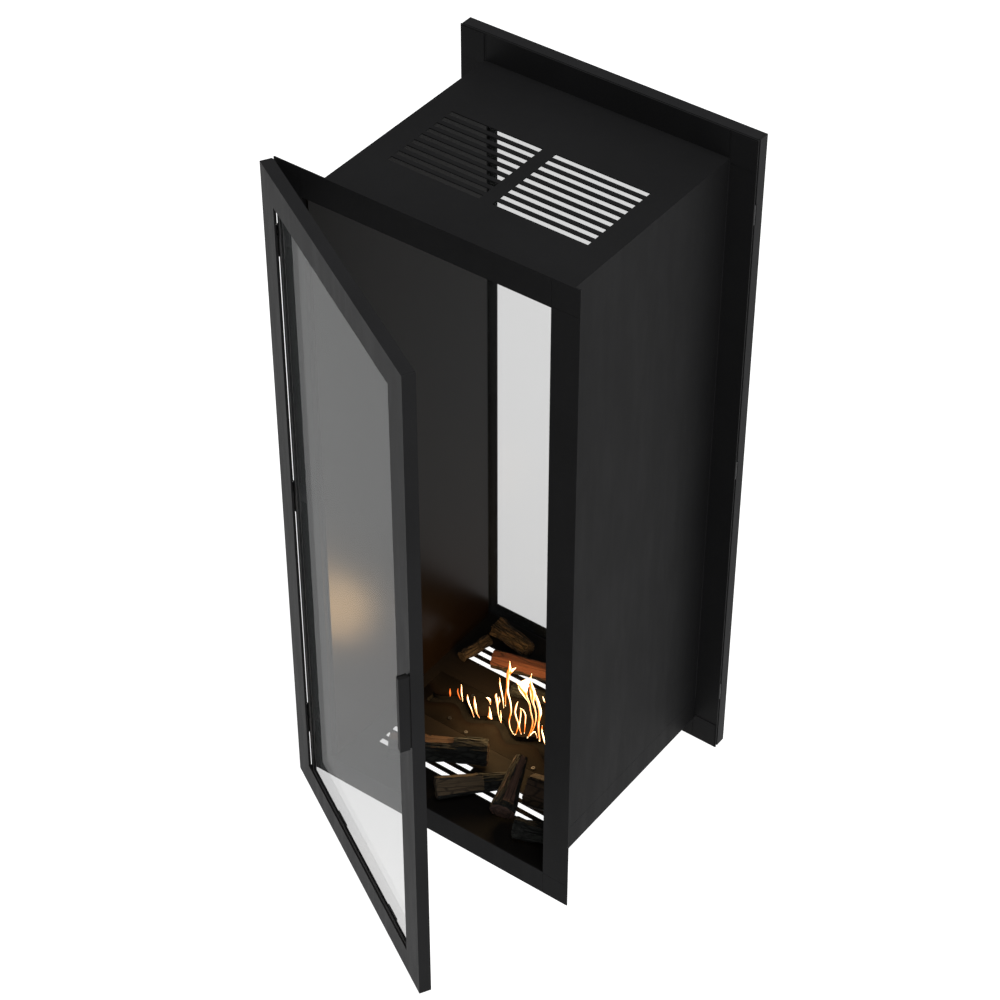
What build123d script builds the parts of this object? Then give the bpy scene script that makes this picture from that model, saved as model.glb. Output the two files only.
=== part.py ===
"""See-through fireplace: a slotted steel tube with folded flanges, a door on each side,
a flush burner with a wavy flame slot and a set of ceramic logs.

Frame: origin at the centre of the base, +X to the right of the front, -Y towards the
viewer of the front, +Z up. Millimetres. The front door is modelled 30 degrees open.
"""

import os
from math import cos, pi, sin

from build123d import *

os.makedirs("parts", exist_ok=True)

# ------------------------------------------------------------------ driving dimensions
total_h = 1200.0          # overall height of the flanges
total_w = 514.0           # overall width of the flanges
side_flange = 44.5        # width of the folded flanges beside the tube
base_flange_h = 45.0      # height of the flange below the tube
top_flange_h = 46.5       # height of the flange above the tube
sheet = 2.0               # sheet steel of the carcass
door_sheet = 2.5          # sheet steel of the door pans
half_depth = 213.5        # flange face to centre plane

box_w = total_w - 2 * side_flange     # outside of the tube
box_z0 = base_flange_h                # underside of the tube
box_z1 = total_h - top_flange_h       # top of the tube
floor_z = box_z0 + sheet              # top face of the floor
inner_x = box_w / 2 - sheet           # inside face of the side walls
back_of_flange = half_depth - sheet
tray_upstand = 45.0                   # height of the angles beside the floor
base_lip = 14.0                       # lips welded under the floor
seam = 0.4                            # visible joint between folded panels

slot_len = 160.0
slot_w = 10.0
slot_pitch = 17.5
slot_x = 91.0                         # centre of each slot group
slot_y = 1.3                          # centre line of both slot fields
floor_slot_rows = (103.5, 121.0, 138.5)

liner_t = 1.5
liner_gap = 3.0                       # air gap between side wall and liner
liner_reach = 205.0                   # front and rear edge of the liners

# burner
insert_half_x = 186.5
insert_half_y = 48.0
insert_gap = 0.5
wave_amp = 10.0
wave_len = 81.5
slot_half = 10.0                      # half the width of the flame slot
wave_half_x = 168.0
tray_depth = 31.0
tray_wall = 1.5

# doors, measured from the hinge-side outer edge (u), the back edge (v) and the ground
door_gap = 2.5                        # back edge of a door pan to the flange face
pan_depth = 19.5
member = 49.0                         # width of the visible door frame members
hinge_member = 46.0                   # width of the member on the hinge side
door_z0 = 1.0
door_z1 = total_h - 1.0
glass_u = 28.5                        # edge of the pane
glass_z = 16.0
glass_v0, glass_v1 = 3.5, 7.5
seal_t = 0.8
seal_cover = 6.0                     # how far the edge tape reaches over the glass
open_angle = 30.0

hinge_z = (127.5, 600.0, 1072.5)
hinge_h = 34.0
hinge_u = 2.0
hinge_v = 0.1
knuckle_r = 1.9
pin_r = 1.0
pin_clear = 0.06
fixed_knuckle = 14.0
knuckle_gap = 0.4

pull_w = 9.5
pull_depth = 15.0
pull_stand = 2.5                      # black stand-off between pull and frame
pull_t = 1.5
pull_z0, pull_z1 = 534.5, 676.0


# ------------------------------------------------------------------ helpers
def keep(shape, label):
    """Name a finished sub-part and write it as its own STEP file."""
    shape.label = label
    export_step(shape, f"parts/{label}.step")


def slab(x0, x1, y0, y1, z0, z1, mode=Mode.ADD):
    """A box given by its limits, added to or cut from the part being built."""
    with Locations(((x0 + x1) / 2, (y0 + y1) / 2, (z0 + z1) / 2)):
        Box(x1 - x0, y1 - y0, z1 - z0, mode=mode)


def door_slab(u0, u1, v0, v1, z0, z1, mode=Mode.ADD):
    """A box in door coordinates, where the front door is when it is closed."""
    x = -total_w / 2
    y = -(half_depth + door_gap)
    slab(x + u0, x + u1, y - v1, y - v0, z0, z1, mode)


def wave_y(x):
    """Centre line of the flame slot."""
    return -wave_amp * cos(2 * pi * x / wave_len)


def wave_points(offset, half_x, steps=48):
    """Points along the slot edge at a given offset from the centre line."""
    xs = [-half_x + 2 * half_x * i / steps for i in range(steps + 1)]
    return [(x, wave_y(x) + offset) for x in xs]


def wavy_band(z0, z1, half_width, half_x, mode=Mode.ADD):
    """A vertical-sided band that follows the flame slot."""
    lower = wave_points(-half_width, half_x)
    upper = wave_points(half_width, half_x)
    with BuildSketch(Plane.XY.offset(z0)) as band:
        with BuildLine():
            Spline(*lower)
            Line(lower[-1], upper[-1])
            Spline(*reversed(upper))
            Line(upper[0], lower[0])
        make_face()
    extrude(band.sketch, amount=z1 - z0, mode=mode)


# ------------------------------------------------------------------ carcass
def side_panel(side):
    """Side wall with its front and rear flange strips folded outwards."""
    wall_x0, wall_x1 = sorted((side * box_w / 2, side * inner_x))
    strip_x0, strip_x1 = sorted((side * inner_x, side * total_w / 2))
    wall_z0 = box_z0 + tray_upstand + seam
    with BuildPart() as panel:
        slab(wall_x0, wall_x1, -half_depth, half_depth, wall_z0, box_z1)
        for y in (-half_depth, back_of_flange):
            slab(strip_x0, strip_x1, y, y + sheet, box_z0 + seam, box_z1)
        bends = panel.edges().filter_by(Axis.Z).filter_by(
            lambda e: abs(abs(e.center().X) - box_w / 2) < 0.1
            and abs(abs(e.center().Y) - back_of_flange) < 0.1)
        fillet(bends, 1.0)
    return panel.part


left_side_panel = side_panel(-1)
right_side_panel = side_panel(1)

with BuildPart() as top_panel:
    slab(-inner_x, inner_x, -half_depth, half_depth, box_z1 - sheet, box_z1)
    for y in (-half_depth, back_of_flange):
        slab(-inner_x, inner_x, y, y + sheet, box_z1 - sheet, total_h)
    with BuildSketch(Plane.XY.offset(box_z1)):
        for sx in (-slot_x, slot_x):
            with Locations((sx, slot_y)):
                with GridLocations(slot_len, slot_pitch, 1, 9):
                    Rectangle(slot_len, slot_w)
    extrude(amount=-sheet, mode=Mode.SUBTRACT)

with BuildPart() as base_panel:
    slab(-inner_x, inner_x, -back_of_flange, back_of_flange, box_z0, floor_z)
    with BuildSketch(Plane.XY.offset(floor_z)):
        for row in floor_slot_rows:
            for sx in (-slot_x, slot_x):
                with Locations((sx, slot_y + row), (sx, slot_y - row)):
                    Rectangle(slot_len, slot_w)
        Rectangle(2 * (insert_half_x + insert_gap), 2 * (insert_half_y + insert_gap))
    extrude(amount=-sheet, mode=Mode.SUBTRACT)


def base_flange(side):
    """Lower flange strip with a lip that is welded under the floor."""
    y0, y1 = sorted((side * half_depth, side * back_of_flange))
    lip0, lip1 = sorted((side * back_of_flange, side * (back_of_flange - base_lip)))
    with BuildPart() as strip:
        slab(-inner_x, inner_x, y0, y1, 0, floor_z)
        slab(-slot_x - 90, slot_x + 90, lip0, lip1, box_z0 - 2.0, box_z0)
    return strip.part


front_base_flange = base_flange(-1)
rear_base_flange = base_flange(1)


def base_angle(side):
    """Angle that joins the floor to a side wall: an upstand and a foot under the floor."""
    x0, x1 = sorted((side * box_w / 2, side * inner_x))
    foot0, foot1 = sorted((side * (box_w / 2 - 0.4), side * (inner_x - base_lip + 3)))
    reach = back_of_flange - seam
    with BuildPart() as angle:
        slab(x0, x1, -reach, reach, box_z0, box_z0 + tray_upstand)
        slab(foot0, foot1, -reach + 20, reach - 20, box_z0 - 2.0, box_z0)
    return angle.part


left_base_angle = base_angle(-1)
right_base_angle = base_angle(1)


def flange_corners(y0, back_y0):
    """Four welded corner squares that close the flange between the folded strips."""
    inner = inner_x + seam
    with BuildPart() as corners:
        for sx in (-1, 1):
            x0, x1 = sorted((sx * inner, sx * total_w / 2))
            for z0, z1, lap0, lap1 in ((0, box_z0, box_z0, box_z0 + 8),
                                       (box_z1 + seam, total_h, box_z1 - 8, box_z1 + seam)):
                slab(x0, x1, y0, y0 + sheet, z0, z1)
                lap_x0, lap_x1 = sorted((sx * (box_w / 2 + 1.5), sx * (total_w / 2 - 2)))
                slab(lap_x0, lap_x1, back_y0, back_y0 + 1.0, min(z0, lap0) + 2, max(z1, lap1) - 2)
    return corners.part


front_flange_corners = flange_corners(-half_depth, -back_of_flange)
rear_flange_corners = flange_corners(back_of_flange, back_of_flange - 1.0)


def liner(side):
    """Inner side liner, held off the wall by its folded edges."""
    face = inner_x - liner_gap
    x0, x1 = sorted((side * face, side * (face - liner_t)))
    e0, e1 = sorted((side * face, side * inner_x))
    with BuildPart() as panel:
        slab(x0, x1, -liner_reach, liner_reach, floor_z, box_z1 - sheet - 2)
        for y in (-liner_reach, liner_reach - liner_t):
            slab(e0, e1, y, y + liner_t, box_z0 + tray_upstand + 1, box_z1 - sheet - 2)
    return panel.part


left_liner = liner(-1)
right_liner = liner(1)

# ------------------------------------------------------------------ burner
rim = 9.0
tray_x = insert_half_x - 2.0
tray_y = insert_half_y - 5.0
with BuildPart() as burner_tray:
    slab(-insert_half_x - rim, insert_half_x + rim, -insert_half_y - rim, insert_half_y + rim,
         box_z0 - tray_wall, box_z0)
    slab(-tray_x, tray_x, -tray_y, tray_y, box_z0 - tray_depth, box_z0 - tray_wall)
    slab(-tray_x + tray_wall, tray_x - tray_wall, -tray_y + tray_wall, tray_y - tray_wall,
         box_z0 - tray_depth + tray_wall, box_z0, Mode.SUBTRACT)
    fillet(burner_tray.edges().filter_by(Axis.Z).sort_by_distance((0, 0, 0))[:4], 4.0)

trough_wall = 1.2
trough_z0 = box_z0 - 24.0
with BuildPart() as burner_trough:
    wavy_band(trough_z0, box_z0, slot_half + trough_wall, wave_half_x + trough_wall)
    wavy_band(trough_z0 + trough_wall, box_z0, slot_half, wave_half_x, Mode.SUBTRACT)
    for sx in (-140.0, 0.0, 140.0):
        slab(sx - 8, sx + 8, -14, 14, box_z0 - tray_depth + tray_wall, trough_z0)

with BuildPart() as burner_stand:
    slab(-150, 150, -40, 40, 0, 2)
    for sx in (-150.0, 148.0):
        slab(sx, sx + 2, -40, 40, 0, box_z0 - tray_depth)
    fillet(burner_stand.edges().filter_by(Axis.Y).group_by(Axis.Z)[0], 1.0)

with BuildPart() as burner_fibre:
    wavy_band(trough_z0 + trough_wall, box_z0 - 8.0, slot_half - 0.4, wave_half_x - 1.0)


def burner_insert(side):
    """Half of the flush burner cover; its inner edge follows the flame slot."""
    edge = wave_points(side * 0.2, insert_half_x)
    far_y = side * insert_half_y
    with BuildPart() as insert:
        with BuildSketch(Plane.XY.offset(box_z0)):
            with BuildLine():
                Spline(*edge)
                Line(edge[-1], (insert_half_x, far_y))
                Line((insert_half_x, far_y), (-insert_half_x, far_y))
                Line((-insert_half_x, far_y), edge[0])
            make_face()
        extrude(amount=sheet)
        wavy_band(box_z0, box_z0 + sheet, slot_half, wave_half_x, Mode.SUBTRACT)
    return insert.part


front_burner_cover = burner_insert(-1)
rear_burner_cover = burner_insert(1)

with BuildPart() as burner_screws:
    for sx, sy in ((-109, 32), (-68, 42), (68, 42), (109, 32)):
        for side in (-1, 1):
            with Locations((sx, side * sy, floor_z + 0.8)):
                Cylinder(3.2, 1.6)
            with Locations((sx, side * sy, floor_z + 1.3)):
                Box(4.4, 1.0, 0.8, mode=Mode.SUBTRACT)


# ------------------------------------------------------------------ ceramic logs
def log_part(start, end, radius, flat=1.0, sides=9, taper=0.9, turn=0.0):
    """A knotty rounded log; flat < 1 takes a split face off its top."""
    start, end = Vector(*start), Vector(*end)
    axis = (end - start).normalized()
    plane = Plane(origin=start, x_dir=Vector(0, 0, 1).cross(axis).normalized(), z_dir=axis)
    lobes = [radius * (0.94 + 0.06 * cos(2.3 * i + turn)) for i in range(sides)]

    def ring(scale):
        return [(scale * lobes[i] * cos(2 * pi * i / sides),
                 scale * min(lobes[i] * sin(2 * pi * i / sides), flat * radius))
                for i in range(sides)]

    with BuildPart() as body:
        with BuildSketch(plane):
            with BuildLine():
                Polyline(*ring(1.0), close=True)
            make_face()
        with BuildSketch(plane.offset((end - start).length)):
            with BuildLine():
                Polyline(*ring(taper), close=True)
            make_face()
        loft(ruled=True)
    return body.part


logs = {
    "log_rear_bark": log_part((-173, 86, 59), (-160.5, 147, 59), 11.5, taper=0.95),
    "log_rear_dark": log_part((-163, 172, 68.5), (-86, 160, 66), 20.5, taper=0.85, turn=1.0),
    "log_rear_split": log_part((-124, 109, 66.5), (60, 160, 66.5), 18.5, flat=0.9, turn=2.0),
    "log_rear_low": log_part((-58, 72, 60.5), (70, 112, 60.5), 12.5, turn=3.0),
    "log_front_left": log_part((-134, -161, 75), (4, -78, 75), 27.0, flat=0.9, turn=0.5),
    "log_front_split": log_part((-20, -186, 70), (67, -93, 63.5), 22.0, flat=0.85, taper=0.7,
                                turn=1.5),
    "log_leaning": log_part((97, -168, 73), (69, -75, 101), 25.0, taper=0.45, turn=0.8),
    "log_right_split": log_part((106, -107, 80), (172, -93, 80), 32.0, flat=0.9, taper=0.95,
                                turn=2.5),
    "log_right_bark": log_part((130, -178, 68.5), (186, -160, 68.5), 20.5, turn=0.2),
}


# ------------------------------------------------------------------ doors
def door_frame():
    """Pan: a front plate with its window and four folded returns."""
    w = total_w
    t = door_sheet
    with BuildPart() as pan:
        door_slab(0, w, 0, pan_depth, door_z0, door_z1)
        door_slab(t, w - t, 0, pan_depth - t, door_z0 + t, door_z1 - t, Mode.SUBTRACT)
        door_slab(hinge_member, w - member, pan_depth - t, pan_depth, member, total_h - member,
                  Mode.SUBTRACT)
        # folded corners stay open by a hair where two returns meet
        for u in (t, w - t - seam):
            for z0, z1 in ((door_z0, door_z0 + t), (door_z1 - t, door_z1)):
                door_slab(u, u + seam, 0, pan_depth - t, z0, z1, Mode.SUBTRACT)
        # hinge edge set back so it can turn past the flange
        door_slab(-1, 3.0, -1, 1.0, door_z0 - 1, door_z1 + 1, Mode.SUBTRACT)
        for z in hinge_z:
            door_slab(-1, 3.0, -1, hinge_v + 2.5, z - hinge_h / 2 - 0.6, z + hinge_h / 2 + 0.6,
                      Mode.SUBTRACT)
    return pan.part


def door_glass():
    with BuildPart() as pane:
        door_slab(glass_u, total_w - glass_u, glass_v0, glass_v1, glass_z, total_h - glass_z)
        chamfer(pane.edges().filter_by(Axis.Z), 0.4)
    return pane.part


def door_seal():
    """Glass-fibre edge tape folded around the pane."""
    lip = glass_u + seal_cover
    lip_z = glass_z + seal_cover
    with BuildPart() as tape:
        door_slab(glass_u - seal_t, total_w - glass_u + seal_t, glass_v0 - seal_t,
                  glass_v1 + seal_t, glass_z - seal_t, total_h - glass_z + seal_t)
        door_slab(glass_u, total_w - glass_u, glass_v0, glass_v1, glass_z, total_h - glass_z,
                  Mode.SUBTRACT)
        door_slab(lip, total_w - lip, -1, pan_depth, lip_z, total_h - lip_z, Mode.SUBTRACT)
    return tape.part


clip_t = 1.5
clip_reach = 7.0
clip_rows = ((glass_v0 - seal_t - clip_t, glass_v0 - seal_t),
             (glass_v1 + seal_t, glass_v1 + seal_t + clip_t),
             (pan_depth - door_sheet - clip_t, pan_depth - door_sheet))
clip_cross = (150.0, total_w - 150.0)


def door_clips():
    """E-shaped clips that hold the taped pane inside the pan."""
    edge = glass_u - seal_t
    edge_z = glass_z - seal_t
    v0, v1 = clip_rows[0][0], clip_rows[2][1]
    with BuildPart() as clips:
        for z in hinge_z:
            z0, z1 = z - hinge_h / 2, z + hinge_h / 2
            for flip in (False, True):
                spans = [(edge - clip_t, edge, v0, v1)]
                spans += [(edge - clip_t, edge + clip_reach, a, b) for a, b in clip_rows]
                for u0, u1, a, b in spans:
                    if flip:
                        u0, u1 = total_w - u1, total_w - u0
                    door_slab(u0, u1, a, b, z0, z1)
        for u in clip_cross:
            for flip in (False, True):
                spans = [(edge_z - clip_t, edge_z, v0, v1)]
                spans += [(edge_z - clip_t, edge_z + clip_reach, a, b) for a, b in clip_rows]
                for z0, z1, a, b in spans:
                    if flip:
                        z0, z1 = total_h - z1, total_h - z0
                    door_slab(u - hinge_h / 2, u + hinge_h / 2, a, b, z0, z1)
    return clips.part


def clip_screws():
    """Short screws that hold each clip to the back of the front plate."""
    with BuildPart() as screws:
        y = -(half_depth + door_gap + clip_rows[2][0] - 0.7)
        x = -total_w / 2
        reach = glass_u + 3.0
        spots = [(x + u, z) for z in hinge_z for u in (reach, total_w - reach)]
        spots += [(x + u, z) for u in clip_cross for z in (glass_z + 3.0, total_h - glass_z - 3.0)]
        with Locations(*[(sx, y, sz) for sx, sz in spots]):
            Cylinder(2.6, 1.4, rotation=(90, 0, 0))
    return screws.part


def axis_point():
    return (-total_w / 2 + hinge_u, -(half_depth + door_gap + hinge_v))


def knuckle(x, y, z0, z1, bore):
    with Locations((x, y, (z0 + z1) / 2)):
        Cylinder(knuckle_r, z1 - z0)
    with Locations((x, y, (z0 + z1) / 2)):
        Cylinder(bore, z1 - z0, mode=Mode.SUBTRACT)


def door_hinge_leaves():
    """Moving halves: two knuckles, a back leaf and an upstand welded to the pan return."""
    x, y = axis_point()
    half = fixed_knuckle / 2 + knuckle_gap
    with BuildPart() as leaves:
        for z in hinge_z:
            door_slab(hinge_u, glass_u - 4.0, 0.2, 1.7, z - hinge_h / 2, z + hinge_h / 2)
            door_slab(door_sheet, door_sheet + 1.5, 0.5, 12.0, z - hinge_h / 2, z + hinge_h / 2)
            door_slab(0, hinge_u + 2.6, -3, hinge_v + 2.5, z - half, z + half, Mode.SUBTRACT)
            for z0, z1 in ((z - hinge_h / 2, z - half), (z + half, z + hinge_h / 2)):
                knuckle(x, y, z0, z1, pin_r + pin_clear)
    return leaves.part


def body_hinge_leaves():
    """Fixed halves on the flange: one knuckle and a thin leaf each."""
    x, y = axis_point()
    leaf_v0, leaf_v1 = -door_gap, -door_gap + 1.2
    with BuildPart() as leaves:
        for z in hinge_z:
            door_slab(hinge_u + 2.6, 22.0, leaf_v0, leaf_v1, z - hinge_h / 2, z + hinge_h / 2)
            door_slab(hinge_u, 6.0, leaf_v0, leaf_v1, z - fixed_knuckle / 2, z + fixed_knuckle / 2)
            knuckle(x, y, z - fixed_knuckle / 2, z + fixed_knuckle / 2, pin_r)
    return leaves.part


def hinge_pins():
    x, y = axis_point()
    with BuildPart() as pins:
        with Locations(*[(x, y, z) for z in hinge_z]):
            Cylinder(pin_r, hinge_h - 0.4)
    return pins.part


def door_pull():
    """Folded channel along the free edge, open at both ends."""
    w = total_w
    v0 = pan_depth + pull_stand
    with BuildPart() as pull:
        door_slab(w - pull_w, w, v0, v0 + pull_depth, pull_z0, pull_z1)
        door_slab(w - pull_w + pull_t, w - pull_t, v0 - 1, v0 + pull_depth - pull_t,
                  pull_z0 - 1, pull_z1 + 1, Mode.SUBTRACT)
        fillet(pull.edges().filter_by(Axis.Z).group_by(Axis.Y)[0], 0.8)
    return pull.part


def pull_core():
    """Black heat-insulating core that fills the channel and stands it off the frame."""
    w = total_w
    with BuildPart() as core:
        door_slab(w - pull_w + pull_t, w - pull_t, pan_depth, pan_depth + pull_stand
                  + pull_depth - pull_t, pull_z0 + 1.2, pull_z1 - 1.2)
    return core.part


def door_magnets():
    """Two magnets behind the free edge that draw the door to the flange."""
    w = total_w
    with BuildPart() as magnets:
        for z in (100.0, 1100.0):
            door_slab(w - door_sheet - 14, w - door_sheet, 0, 10, z - 20, z + 20)
            with Locations((total_w / 2 - door_sheet - 7, -(half_depth + door_gap), z)):
                Cylinder(3.0, 3.0, rotation=(90, 0, 0), mode=Mode.SUBTRACT)
    return magnets.part


hinge_x, hinge_y = axis_point()
to_axis = Location((hinge_x, hinge_y, 0))
open_front = to_axis * Location((0, 0, 0), (0, 0, -open_angle)) * to_axis.inverse()
turned = Location((0, 0, 0), (0, 0, 180))

moving_parts = {
    "door_frame": door_frame(),
    "door_glass": door_glass(),
    "door_glass_tape": door_seal(),
    "door_glass_clips": door_clips(),
    "door_clip_screws": clip_screws(),
    "door_hinge_leaves": door_hinge_leaves(),
    "door_pull": door_pull(),
    "door_pull_core": pull_core(),
    "door_magnets": door_magnets(),
}
fixed_parts = {
    "flange_hinge_leaves": body_hinge_leaves(),
    "hinge_pins": hinge_pins(),
}

# ------------------------------------------------------------------ write every sub-part
keep(left_side_panel, "left_side_panel")
keep(right_side_panel, "right_side_panel")
keep(top_panel.part, "top_panel")
keep(base_panel.part, "base_panel")
keep(front_base_flange, "front_base_flange")
keep(rear_base_flange, "rear_base_flange")
keep(left_base_angle, "left_base_angle")
keep(right_base_angle, "right_base_angle")
keep(front_flange_corners, "front_flange_corners")
keep(rear_flange_corners, "rear_flange_corners")
keep(left_liner, "left_liner")
keep(right_liner, "right_liner")
keep(burner_tray.part, "burner_tray")
keep(burner_trough.part, "burner_trough")
keep(burner_stand.part, "burner_stand")
keep(burner_fibre.part, "burner_fibre")
keep(front_burner_cover, "front_burner_cover")
keep(rear_burner_cover, "rear_burner_cover")
keep(burner_screws.part, "burner_screws")
for name, shape in logs.items():
    keep(shape, name)
for name, shape in moving_parts.items():
    keep(open_front * shape, f"front_{name}")
    keep(turned * shape, f"rear_{name}")
for name, shape in fixed_parts.items():
    keep(shape, f"front_{name}")
    keep(turned * shape, f"rear_{name}")
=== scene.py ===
import math

import bmesh
import bpy
from mathutils import Matrix, Vector, noise


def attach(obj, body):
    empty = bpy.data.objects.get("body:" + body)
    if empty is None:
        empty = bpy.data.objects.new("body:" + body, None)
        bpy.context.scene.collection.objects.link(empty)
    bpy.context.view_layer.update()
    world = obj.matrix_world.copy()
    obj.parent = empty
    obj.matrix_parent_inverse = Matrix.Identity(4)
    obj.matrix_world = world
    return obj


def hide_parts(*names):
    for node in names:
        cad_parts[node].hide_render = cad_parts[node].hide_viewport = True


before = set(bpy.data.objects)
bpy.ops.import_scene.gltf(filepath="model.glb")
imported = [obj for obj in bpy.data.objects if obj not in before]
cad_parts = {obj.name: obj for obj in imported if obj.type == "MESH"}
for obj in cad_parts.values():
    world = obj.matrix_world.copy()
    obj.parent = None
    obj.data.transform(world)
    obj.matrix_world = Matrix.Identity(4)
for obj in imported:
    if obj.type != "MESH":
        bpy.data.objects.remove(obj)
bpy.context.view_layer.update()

bl_info = {
    "name": "See-through fireplace",
    "version": (1, 0, 0),
    "blender": (4, 5, 0),
    "location": "3D View > Sidebar > Fireplace",
    "description": "Finishes, ceramic logs, flames and studio for a see-through fireplace",
    "category": "Object",
}

UP = Vector((0, 0, 1))
SLOT_WAVE = 10.0            # swing of the flame slot to either side, in millimetres
SLOT_WAVE_LENGTH = 81.5     # length of one wave of the slot, in millimetres
FIRE_PLACE = (-0.035, 0.0, 0.13)
FIRE_SIZE = 0.055
FIRE_COLOUR = (1.0, 0.62, 0.26)
SOFTBOX_PLACE = (1.6, -0.5, 4.1)
SOFTBOX_AIM = (0.0, 0.0, 0.5)
FLOOR_COLOUR = (0.3, 0.3, 0.3)
FLOOR_DROP = 0.0005         # keeps the studio floor just under the feet of the burner stand


# ---------------------------------------------------------------- shader maths
class Value:
    """A number inside a material; arithmetic on it adds Math nodes."""

    def __init__(self, finish, socket):
        self.finish = finish
        self.socket = socket

    def _math(self, operation, *terms, clamp=False):
        settings = {"operation": operation, "use_clamp": clamp}
        return self.finish.node("ShaderNodeMath", settings, dict(enumerate(terms)))

    def __add__(self, other):
        return self._math("ADD", self, other)

    __radd__ = __add__

    def __mul__(self, other):
        return self._math("MULTIPLY", self, other)

    __rmul__ = __mul__

    def __sub__(self, other):
        return self._math("SUBTRACT", self, other)

    def __rsub__(self, other):
        return self._math("SUBTRACT", other, self)

    def clamped(self):
        return self._math("ADD", self, 0.0, clamp=True)

    def sine(self):
        return self._math("SINE", self)

    def size(self):
        return self._math("ABSOLUTE", self)

    def between(self, low, high):
        """0 at low, 1 at high, and straight between."""
        settings = {"clamp": True}
        return self.finish.node("ShaderNodeMapRange", settings,
                                {"Value": self, "From Min": low, "From Max": high})


class Finish:
    """One procedural material and the nodes that make it."""

    def __init__(self, name):
        self.material = bpy.data.materials.new(name)
        self.material.use_nodes = True
        self.tree = self.material.node_tree
        self.tree.nodes.clear()

    def node(self, kind, settings=None, inputs=None, out=0):
        made = self.tree.nodes.new(kind)
        for key, value in (settings or {}).items():
            if key == "stops":
                ramp = made.color_ramp
                while len(ramp.elements) < len(value):
                    ramp.elements.new(0.5)
                for element, (place, colour) in zip(ramp.elements, value):
                    element.position = place
                    element.color = (*colour, 1.0)
            else:
                setattr(made, key, value)
        for key, value in (inputs or {}).items():
            if isinstance(value, Value):
                self.tree.links.new(value.socket, made.inputs[key])
            else:
                made.inputs[key].default_value = value
        return Value(self, made.outputs[out])

    def place(self, kind="Object"):
        return self.node("ShaderNodeTexCoord", out=kind)

    def stretched(self, where, scale):
        return self.node("ShaderNodeMapping", None, {"Vector": where, "Scale": scale})

    def parts(self, where):
        first = self.node("ShaderNodeSeparateXYZ", None, {0: where})
        outputs = first.socket.node.outputs
        return [Value(self, outputs[i]) for i in range(3)]

    def noise(self, where, scale, detail=3.0, rough=0.55, bend=0.0):
        return self.node("ShaderNodeTexNoise", None, {
            "Vector": where, "Scale": scale, "Detail": detail,
            "Roughness": rough, "Distortion": bend})

    def cells(self, where, scale, feature="F1"):
        return self.node("ShaderNodeTexVoronoi", {"feature": feature},
                         {"Vector": where, "Scale": scale})

    def ramp(self, factor, *stops):
        return self.node("ShaderNodeValToRGB", {"stops": stops}, {0: factor})

    def blend(self, factor, first, second):
        return self.node("ShaderNodeMix", {"data_type": "RGBA"},
                         {0: factor, 6: first, 7: second}, out=2)

    def bump(self, height, distance, strength=1.0):
        return self.node("ShaderNodeBump", None, {
            "Strength": strength, "Distance": distance, "Height": height})

    def facing(self):
        return self.node("ShaderNodeLayerWeight", None, {"Blend": 0.5}, out="Facing")

    def surface(self, **sockets):
        inputs = {key.replace("_", " "): value for key, value in sockets.items()}
        shader = self.node("ShaderNodeBsdfPrincipled", None, inputs)
        self.node_output(shader)
        return self.material

    def node_output(self, shader):
        output = self.tree.nodes.new("ShaderNodeOutputMaterial")
        self.tree.links.new(shader.socket, output.inputs["Surface"])


def rgb(colour, share=1.0):
    return (*(channel * share for channel in colour[:3]), 1.0)


# ---------------------------------------------------------------- finishes
def powder_coat(name, colour, roughness, gloss, grain=1300.0):
    """Fine matte powder coat: tiny orange peel, cloudy tone and faint rub marks."""
    paint = Finish(name)
    where = paint.place()
    peel = paint.noise(where, grain, 2.0)
    clouds = paint.noise(where, 5.0, 4.0, 0.6)
    rubs = paint.noise(paint.stretched(where, (30.0, 30.0, 4.0)), 1.5, 5.0, 0.7)
    dust = paint.noise(where, 420.0, 1.0).between(0.64, 0.8)
    tone = (clouds * 0.6 + peel * 0.4).between(0.3, 0.72)
    colour_now = paint.blend(tone, rgb(colour, 0.8), rgb(colour, 1.2))
    colour_now = paint.blend(dust * 0.25, colour_now, rgb(colour, 2.4))
    return paint.surface(
        Base_Color=colour_now,
        Roughness=(rubs.between(0.42, 0.7) * -0.07 + peel * 0.06 + roughness).clamped(),
        Specular_IOR_Level=gloss,
        Normal=paint.bump(peel, 0.00012, 0.6))


def liner_paint(name, colour):
    """Smooth heat-resistant paint, drawn warmer and lighter low down next to the fire as painted
    firelight.
    """
    paint = Finish(name)
    where = paint.place()
    _, _, height = paint.parts(where)
    clouds = paint.noise(where, 7.0, 5.0, 0.6)
    fine = paint.noise(where, 700.0, 2.0)
    # painted firelight: the lower part of the liner is drawn warmer and lighter, as if lit by the
    # flames
    painted_firelight = (1.0 - (height + clouds * 0.12).between(0.12, 0.55)) * 0.75
    base = paint.blend(clouds.between(0.3, 0.7), rgb(colour, 0.75), rgb(colour, 1.15))
    base = paint.blend(painted_firelight, base, rgb((colour[0] * 1.5, colour[1] * 1.15, colour[2] * 0.9)))
    return paint.surface(
        Base_Color=base,
        Roughness=fine * 0.06 + clouds * 0.06 + 0.24,
        Specular_IOR_Level=0.1,
        Normal=paint.bump(fine, 0.0001, 0.3))


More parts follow.
